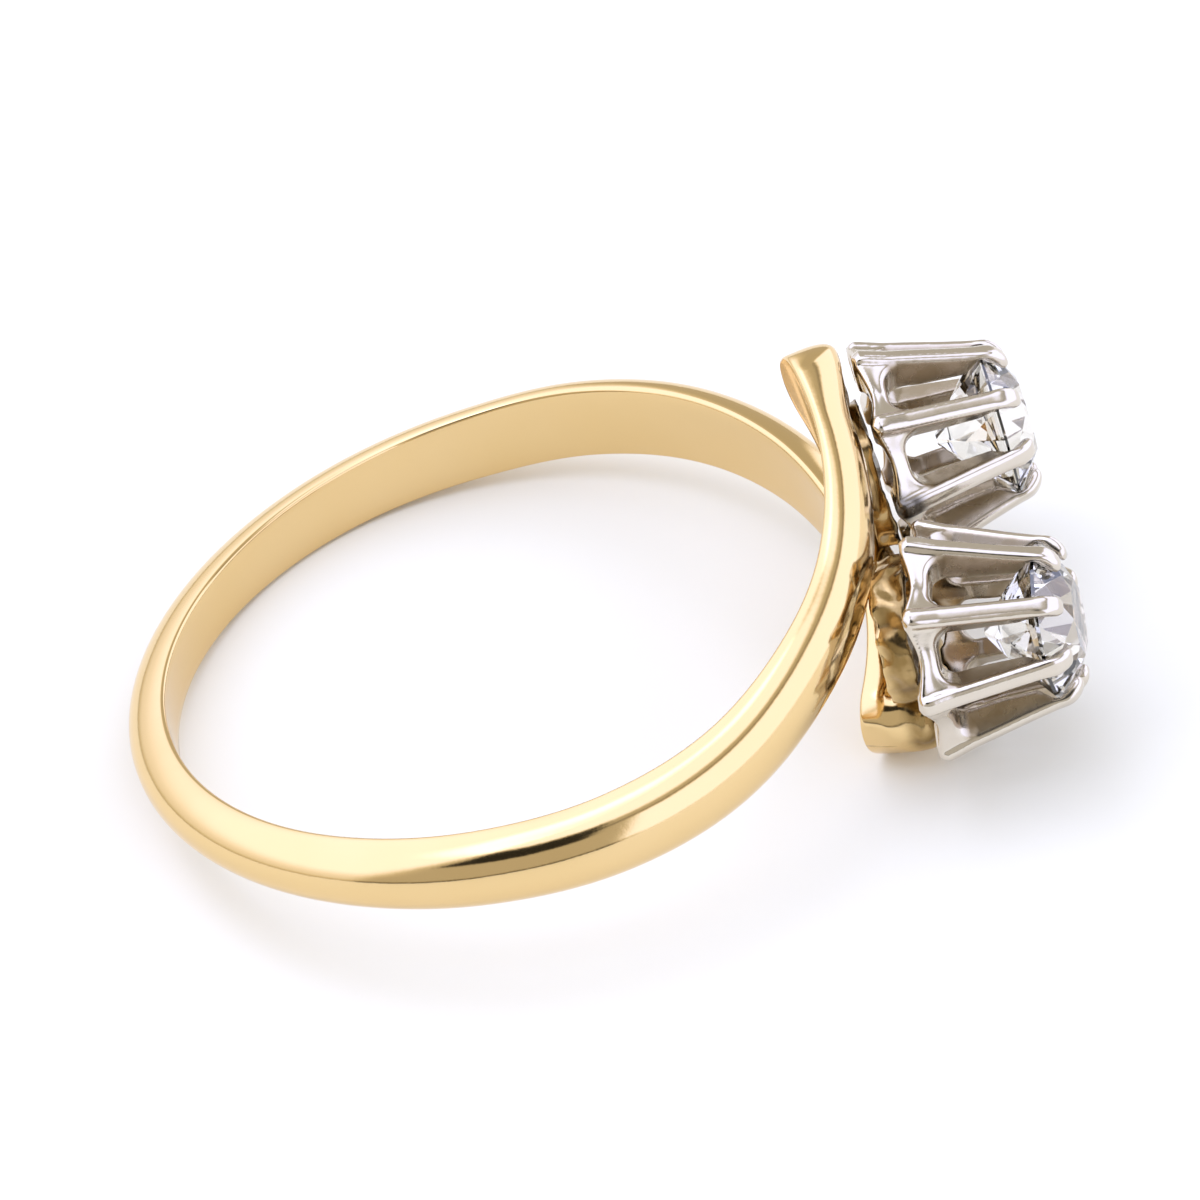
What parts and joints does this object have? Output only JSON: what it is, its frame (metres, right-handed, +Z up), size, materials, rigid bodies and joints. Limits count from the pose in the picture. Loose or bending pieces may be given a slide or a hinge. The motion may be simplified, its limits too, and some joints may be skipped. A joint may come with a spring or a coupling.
{
  "type": "toi et moi ring",
  "caption": "Toi et moi finger ring lying on its side: a gold crossover band whose shoulders pass each other and carry claw crowns, each with a round old-cut stone.",
  "frame": {"origin": "centre of the underside of the bounding box: the ring lies on its side on the table z = 0", "axes": "+X towards the head with the stones, +Z up from the table; the finger hole's axis leans 12 degrees from +Z"},
  "size_m": [0.0233, 0.019, 0.0075],
  "materials": {
    "gold": "polished yellow gold",
    "white_metal": "polished white gold or platinum",
    "stone": "clear faceted diamond"
  },
  "bodies": {
    "root": {"shank": "gold", "near_crown": "white_metal", "far_crown": "white_metal", "near_stone": "stone", "far_stone": "stone"}
  },
  "joints": []
}
